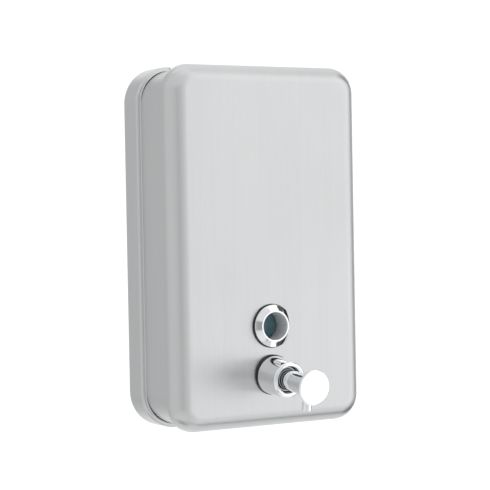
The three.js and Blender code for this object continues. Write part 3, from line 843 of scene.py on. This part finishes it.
BARREL = 7.1
BARREL_BORE = 6.1
BARREL_REAR = -20


def add_valve_cylinder():
    """The threaded barrel through the cover; its front part, inside the bonnet, is metal."""
    front, flange, flange_rear, flange_front = 15.6, 9.0, 2.0, 3.6
    thread_from, thread_to, pitch, depth = -19.6, -1.1, 1.25, 0.5
    cylinder = turned("valve_barrel", [
        (BARREL_BORE, BARREL_REAR),
        (BARREL - 0.3, BARREL_REAR),
        *threaded(BARREL, thread_from - 0.1, thread_to + 0.1, pitch),
        (BARREL, flange_rear),
        (flange - 0.3, flange_rear),
        (flange, flange_rear + 0.3),
        (flange, flange_front - 0.3),
        (flange - 0.3, flange_front),
        (BARREL, flange_front),
        (BARREL, front - 0.4),
        (BARREL - 0.4, front),
        (BARREL_BORE + 0.2, front),
        (BARREL_BORE, front - 0.2),
    ], ON_VALVE, thread=(thread_from, thread_to, pitch, depth, BARREL))
    finish_piece(cylinder, "valve_cylinder", "tank", "black_plastic")
    cylinder.data.materials.append(MATERIALS["zinc_steel"])
    for face in cylinder.data.polygons:
        station = (ON_VALVE.inverted() @ (face.center / MM)).y
        face.material_index = int(station > flange_front + 0.1)


def add_cylinder_cap():
    """The cap on the barrel's end: a barbed nipple behind and the ball's cage in front."""
    rear, bore, neck, barb, barb_pitch = -33, 1.3, 2.6, 2.8, 1.8
    plate_rear, joint, sleeve = -25.5, BARREL_REAR - GAP, BARREL_BORE - GAP
    cage, cage_rear, cage_front, throat = 2.6, -24, -18, 1.7
    barbs = []
    for i in range(3):
        top = rear + 1.5 + barb_pitch * i
        barbs += [(barb, top), (neck, top + 0.3)]
    cap = turned("barrel_cap", [
        (bore, rear),
        (neck - 0.1, rear),
        *barbs,
        (neck, plate_rear),
        (BARREL - 0.3, plate_rear),
        (BARREL, plate_rear + 0.3),
        (BARREL, joint),
        (sleeve, joint),
        (sleeve, cage_front + 0.7),
        (throat, cage_front + 0.7),
        (throat, cage_front),
        (cage, cage_front),
        (cage, cage_rear),
        (bore, cage_rear),
    ], ON_VALVE)
    finish_piece(cap, "cylinder_cap", "tank", "black_plastic", edge=0.1)


def add_inlet_ball():
    """The check ball in the cap's cage, resting on the nipple's bore."""
    radius, at = 2.0, -21.8
    ball = turned("check_ball", [
        (0, at - radius),
        *arc((0, at), radius, -85, 85, 20),
        (0, at + radius),
    ], ON_VALVE, SMALL)
    finish_piece(ball, "inlet_ball", "inlet_ball", "white_plastic")


def add_valve_seals():
    """A tapered washer on each side of the cover, which tilts the valve, and the nut."""
    outside = ring_profile(VALVE_HOLE, 11.4, -3, 1.7)
    washer = turned("sloped_washer", outside, ON_VALVE, on_face=(-3, GAP))
    finish_piece(washer, "tilt_washer", "tank", "black_rubber", edge=0.2)
    inside = ring_profile(VALVE_HOLE, 11.5, -4, 3)
    seal = turned("inside_washer", inside, ON_VALVE, on_face=(3, -SHEET - GAP))
    finish_piece(seal, "inner_washer", "tank", "black_rubber", edge=0.2)
    nut = hexagon_nut("barrel_nut", 21, VALVE_HOLE, -9.3, -4.3, ON_VALVE)
    finish_piece(nut, "valve_nut", "tank", "white_plastic", edge=0.15)


def add_piston():
    """The plunger that the stem pushes, with its cup packing in a groove."""
    groove, groove_rear, groove_front = 4.4, 4, 7
    heel, wall, cup = 4.7, 5.4, 5.95
    root, well, lip_end = groove_rear + 0.3, 5.4, 6.7
    packing = turned("cup_packing", [
        (heel, root),
        (cup - 0.15, root),
        (cup, root + 0.3),
        (cup, lip_end - 0.3),
        (cup - 0.25, lip_end),
        (wall + 0.1, lip_end),
        (wall, well),
        (wall - 0.15, well),
        (wall - 0.25, lip_end),
        (heel, lip_end),
    ], ON_VALVE)
    finish_piece(packing, "u_packing", "push_button", "black_rubber", edge=0.05)
    radius, rear, front = 5.7, -2, 13.7
    bore, spring_seat, spigot, tip, tip_end = 1.3, 1.5, 4.3, 2.3, 26
    plunger = turned("piston", [
        (bore, spring_seat),
        (spigot, spring_seat),
        (spigot, rear),
        (radius - 0.2, rear),
        (radius, rear + 0.2),
        (radius, groove_rear),
        (groove, groove_rear),
        (groove, groove_front),
        (radius, groove_front),
        (radius, front),
        (tip, front),
        (tip, tip_end - 0.2),
        (tip - 0.2, tip_end),
        (bore, tip_end),
    ], ON_VALVE)
    finish_piece(plunger, "plunger", "push_button", "white_plastic", edge=0.08)


def swept(name, route, radius, bore=0.0, steps=SMALL):
    """A tube or a wire along route, points in millimetres; the frame of each section is carried along."""
    side = Vector((1, 0, 0))
    rings = []
    for i, here in enumerate(route):
        ahead = (route[min(i + 1, len(route) - 1)] - route[max(i - 1, 0)]).normalized()
        side = (side - ahead * side.dot(ahead)).normalized()
        rings.append((here, side, ahead.cross(side)))
    sizes = [(ring, radius) for ring in rings]
    if bore:
        sizes += [(ring, bore) for ring in reversed(rings)]
    points = []
    for (center, u, v), size in sizes:
        for k in range(steps):
            angle = 2 * math.pi * k / steps
            points.append(center + (u * math.cos(angle) + v * math.sin(angle)) * size)
    faces = stacked_faces(len(sizes), steps, closed=bool(bore))
    if not bore:
        faces += [tuple(range(steps)), tuple(range((len(sizes) - 1) * steps, len(sizes) * steps))]
    return mesh_object(name, points, faces)


def add_intake():
    """Pushed on the cap's nipple, then bent down to the tank's floor."""
    radius, bore, drop_y = 4.1, 3.1, -14.5
    straight, bend = 4, 16  # steps along the route
    start = ON_VALVE @ Vector((0, -26.5, 0))
    bend_start = ON_VALVE @ Vector((0, -34, 0))
    corner = ON_VALVE @ Vector((0, (COVER_FRONT - drop_y) / math.cos(TILT), 0))
    bend_end = Vector((0, drop_y, -79))
    end = Vector((0, drop_y, box_mm("intake_tube")[0].z))
    route = [start.lerp(bend_start, i / straight) for i in range(straight)]
    for i in range(bend + 1):
        t = i / bend
        route.append(bend_start * (1 - t) ** 2 + corner * (2 * t * (1 - t)) + bend_end * t * t)
    route += [bend_end.lerp(end, i / straight) for i in range(1, straight + 1)]
    piece = swept("dip_tube", route, radius, bore)
    finish_piece(piece, "intake_tube", "tank", "natural_plastic", edge=0.1)


def add_spring():
    """A coil round the valve's axis, between the cap and the plunger."""
    rear, front, radius, wire, turns, per_turn = -17.0, 1.2, 3.5, 0.45, 7, 28
    steps = turns * per_turn
    route = []
    # "closed" brings the coils nearer to each other at both ends.
    for i in range(steps + 1):
        share = i / steps
        angle = 2 * math.pi * turns * share
        closed = share * share * (3 - 2 * share)
        station = rear + wire + (front - rear - 2 * wire) * (0.6 * share + 0.4 * closed)
        route.append(ON_VALVE @ Vector((radius * math.cos(angle), station, radius * math.sin(angle))))
    piece = swept("spring_coil", route, wire, steps=12)
    finish_piece(piece, "return_spring", "tank", "raw_steel")
    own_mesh(piece)


# ---- lid, lock and hinge ----
LOCK_BORE = 3.4
LOCK_TOP = 103.4
LOCK_BOTTOM = 96.4
CAM_BOTTOM = 94.9
CAM_TOP = 96.1


def add_lock_barrel():
    """The lock's threaded body, its head on the lid, and the nut under the lid."""
    barrel, head = 4.8, 6.4
    thread_from, thread_to, pitch, depth = LOCK_BOTTOM + 0.3, 101.3, 0.9, 0.35
    head_rear = box_mm("filler_lid")[1].z + GAP
    body = turned("lock_body", [
        (LOCK_BORE, LOCK_BOTTOM),
        (barrel - 0.3, LOCK_BOTTOM),
        *threaded(barrel, thread_from, thread_to + 0.1, pitch),
        (barrel, head_rear),
        (head, head_rear),
        (head, LOCK_TOP - 0.5),
        *arc((head - 0.5, LOCK_TOP - 0.5), 0.5, 0, 90, 6)[1:],
        (LOCK_BORE + 0.5, LOCK_TOP),
        (LOCK_BORE, LOCK_TOP - 0.4),
    ], ON_LOCK, thread=(thread_from, thread_to, pitch, depth, barrel))
    finish_piece(body, "lock_barrel", "lid", "chrome")
    nut = hexagon_nut("lock_hex_nut", 10.8, barrel + GAP, 98.9, 101.2, ON_LOCK)
    finish_piece(nut, "lock_nut", "lid", "zinc_steel", edge=0.1)


def add_lock_plug():
    """The key's plug with its slot, and a riveted tail for the cam."""
    rivet, tail, plug_radius, plug_top = 2.8, 2, LOCK_BORE - GAP, LOCK_TOP - GAP
    plug = turned("key_plug", [
        (0, CAM_BOTTOM - 1.5),
        (rivet - 0.2, CAM_BOTTOM - 1.5),
        (rivet, CAM_BOTTOM - 1.3),
        (rivet, CAM_BOTTOM - GAP),
        (tail, CAM_BOTTOM - GAP),
        (tail, LOCK_BOTTOM + GAP),
        (plug_radius, LOCK_BOTTOM + GAP),
        (plug_radius, plug_top - 0.2),
        (plug_radius - 0.2, plug_top),
        (0, plug_top),
    ], ON_LOCK)
    wide, long, deep = 0.5, 2.2, 3
    slot = block_cutter(
        (-wide, LOCK_Y - long, LOCK_TOP - deep), (wide, LOCK_Y + long, LOCK_TOP + 1),
    )
    combine(plug, slot, "DIFFERENCE")
    finish_piece(plug, "lock_plug", "lid_lock", "chrome", edge=0.08)


def add_lock_cam():
    """The flat tongue that turns under the collar's rim."""
    half, reach, corner, hole = 4.0, 13.5, 1.5, 2.3
    edge = [
        *arc((reach - corner, half - corner), corner, 0, 90, 6),
        *arc((0, 0), half, 90, 270, 24),
        *arc((reach - corner, corner - half), corner, 270, 360, 6),
    ]
    count = len(edge)
    points = [(x, y + LOCK_Y, z) for z in (CAM_BOTTOM, CAM_TOP) for x, y in edge]
    faces = stacked_faces(2, count, closed=False)
    faces += [tuple(range(count)), tuple(range(count, 2 * count))]
    cam = mesh_object("lock_tongue", points, faces)
    combine(cam, round_cutter(hole, CAM_BOTTOM - 1, CAM_TOP + 1, ON_LOCK, SMALL), "DIFFERENCE")
    finish_piece(cam, "lock_cam", "lid_lock", "zinc_steel", edge=0.15)


def add_hinge_pin():
    low, high = box_mm("hinge_pin")
    middle = (low + high) / 2
    radius = (high.z - low.z) / 2
    across = Matrix.Translation((0, middle.y, middle.z)) @ Matrix.Rotation(-math.pi / 2, 4, "Z")
    soft = 0.3
    piece = turned("hinge_rod", [
        (0, low.x),
        *arc((radius - soft, low.x + soft), soft, 270, 360, 4),
        *arc((radius - soft, high.x - soft), soft, 0, 90, 4),
        (0, high.x),
    ], across, SMALL)
    finish_piece(piece, "hinge_pin", "tank", "raw_steel")


def add_lock_screw():
    low, high = box_mm("lock_screw")
    middle = (low + high) / 2
    shank, head, head_top, soft = 1.4, 2.6, -104.2, 0.6
    thread_from, thread_to, pitch, depth = head_top + 0.3, high.z - 0.6, 0.5, 0.22
    upright = Matrix.Translation((0, middle.y, 0)) @ Y_TO_Z
    piece = turned("security_screw", [
        (0, low.z),
        *arc((head - soft, low.z + soft), soft, 270, 360, 6),
        (head, head_top),
        (shank, head_top),
        *threaded(shank, thread_from, thread_to, pitch),
        (shank - 0.5, high.z),
        (0, high.z),
    ], upright, SMALL, thread=(thread_from, thread_to, pitch, depth, shank))
    slot_half, slot_depth = 0.4, 0.8
    slot = block_cutter(
        (-2 * head, middle.y - slot_half, low.z - 1),
        (2 * head, middle.y + slot_half, low.z + slot_depth),
    )
    combine(piece, slot, "DIFFERENCE")
    finish_piece(piece, "lock_screw", "tank", "raw_steel", edge=0.05)


def dress_cad_nodes():
    """The folded and flat pieces keep their CAD shape and get soft edges and their own material."""
    for node, material, edge in (
        ("wall_plate", MATERIALS["zinc_steel"], 0.3),
        ("hanger_bracket", MATERIALS["raw_steel"], 0.2),
        ("filler_collar", FOLDED_STEEL, 0.15),
        ("filler_lid", FOLDED_STEEL, 0.2),
        ("lid_gasket", MATERIALS["black_rubber"], 0.4),
    ):
        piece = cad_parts[node]
        for material_slot in piece.material_slots:
            material_slot.material = material
        soften(piece, edge)


add_camera()
add_world()
add_floor()
add_cover()
add_band()
add_pan()
add_window()
add_bonnet()
add_duckbill(add_button())
add_valve_cylinder()
add_cylinder_cap()
add_inlet_ball()
add_valve_seals()
add_piston()
add_intake()
add_spring()
add_lock_barrel()
add_lock_plug()
add_lock_cam()
add_hinge_pin()
add_lock_screw()
dress_cad_nodes()
